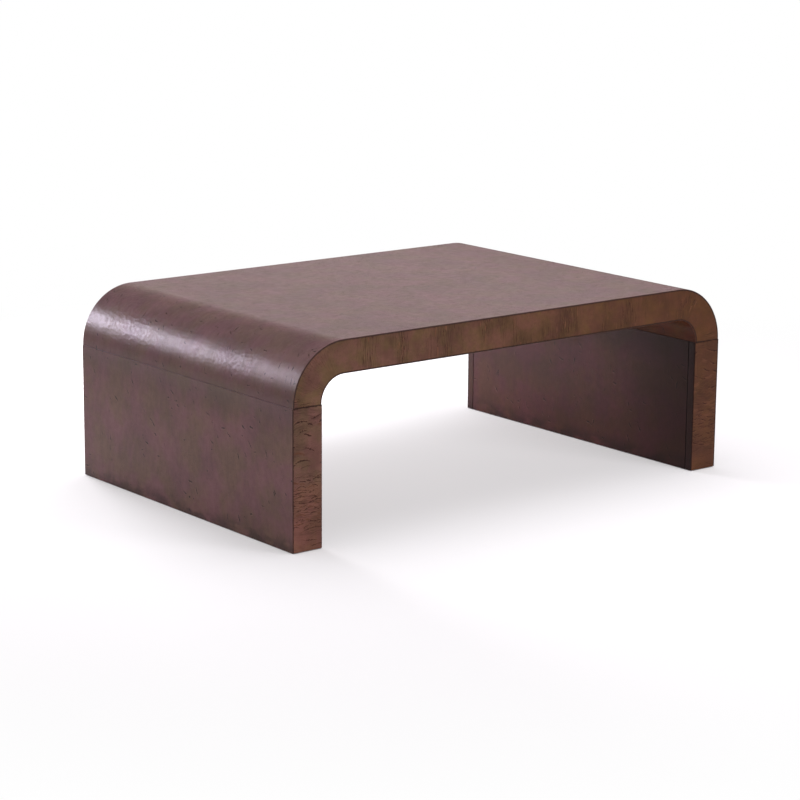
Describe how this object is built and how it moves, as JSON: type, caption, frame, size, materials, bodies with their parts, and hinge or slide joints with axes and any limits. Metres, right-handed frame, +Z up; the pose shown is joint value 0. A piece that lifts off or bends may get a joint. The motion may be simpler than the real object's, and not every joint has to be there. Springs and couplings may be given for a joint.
{
  "type": "waterfall coffee table",
  "caption": "Low U-shaped coffee table: a flat veneered top runs over a quarter-round bend at each end into a slab leg, with a seam where the bolted leg begins.",
  "frame": {"origin": "on the floor, under the middle of the table", "axes": "+Z up, X along the table's length, -Y towards the front"},
  "size_m": [1.067, 0.711, 0.381],
  "materials": {
    "face_veneer": "dark stained oak veneer, satin lacquer",
    "edge_veneer": "dark stained cross-banded oak veneer, satin lacquer",
    "stained_stile": "dark stained solid oak, satin lacquer",
    "bending_ply": "raw bending plywood",
    "core_wood": "raw engineered board",
    "dowel_wood": "raw beech",
    "zinc_steel": "zinc plated",
    "nylon": "dark brown nylon"
  },
  "bodies": {
    "root": {"bend_formers_left": "core_wood", "bend_formers_right": "core_wood", "cross_ribs": "core_wood", "front_bend_block_left": "core_wood", "front_bend_block_right": "core_wood", "front_edge_veneer_left": "edge_veneer", "front_edge_veneer_right": "edge_veneer", "front_rail": "core_wood", "left_leg_bolts": "zinc_steel", "left_leg_bottom_rail": "core_wood", "left_leg_dowels": "dowel_wood", "left_leg_front_edge_veneer": "edge_veneer", "left_leg_front_stile": "stained_stile", "left_leg_glides": "nylon", "left_leg_inner_panel": "core_wood", "left_leg_inner_veneer": "face_veneer", "left_leg_outer_panel": "core_wood", "left_leg_outer_veneer": "face_veneer", "left_leg_rear_edge_veneer": "edge_veneer", "left_leg_rear_stile": "stained_stile", "left_leg_ribs": "core_wood", "left_leg_threaded_inserts": "zinc_steel", "left_leg_top_rail": "core_wood", "left_leg_washers": "zinc_steel", "rear_bend_block_left": "core_wood", "rear_bend_block_right": "core_wood", "rear_edge_veneer_left": "edge_veneer", "rear_edge_veneer_right": "edge_veneer", "rear_rail": "core_wood", "right_leg_bolts": "zinc_steel", "right_leg_bottom_rail": "core_wood", "right_leg_dowels": "dowel_wood", "right_leg_front_edge_veneer": "edge_veneer", "right_leg_front_stile": "stained_stile", "right_leg_glides": "nylon", "right_leg_inner_panel": "core_wood", "right_leg_inner_veneer": "face_veneer", "right_leg_outer_panel": "core_wood", "right_leg_outer_veneer": "face_veneer", "right_leg_rear_edge_veneer": "edge_veneer", "right_leg_rear_stile": "stained_stile", "right_leg_ribs": "core_wood", "right_leg_threaded_inserts": "zinc_steel", "right_leg_top_rail": "core_wood", "right_leg_washers": "zinc_steel", "seam_rail_left": "core_wood", "seam_rail_right": "core_wood", "top_face_veneer": "face_veneer", "top_outer_skin": "bending_ply", "underside_skin": "bending_ply", "underside_veneer": "face_veneer"}
  },
  "joints": []
}
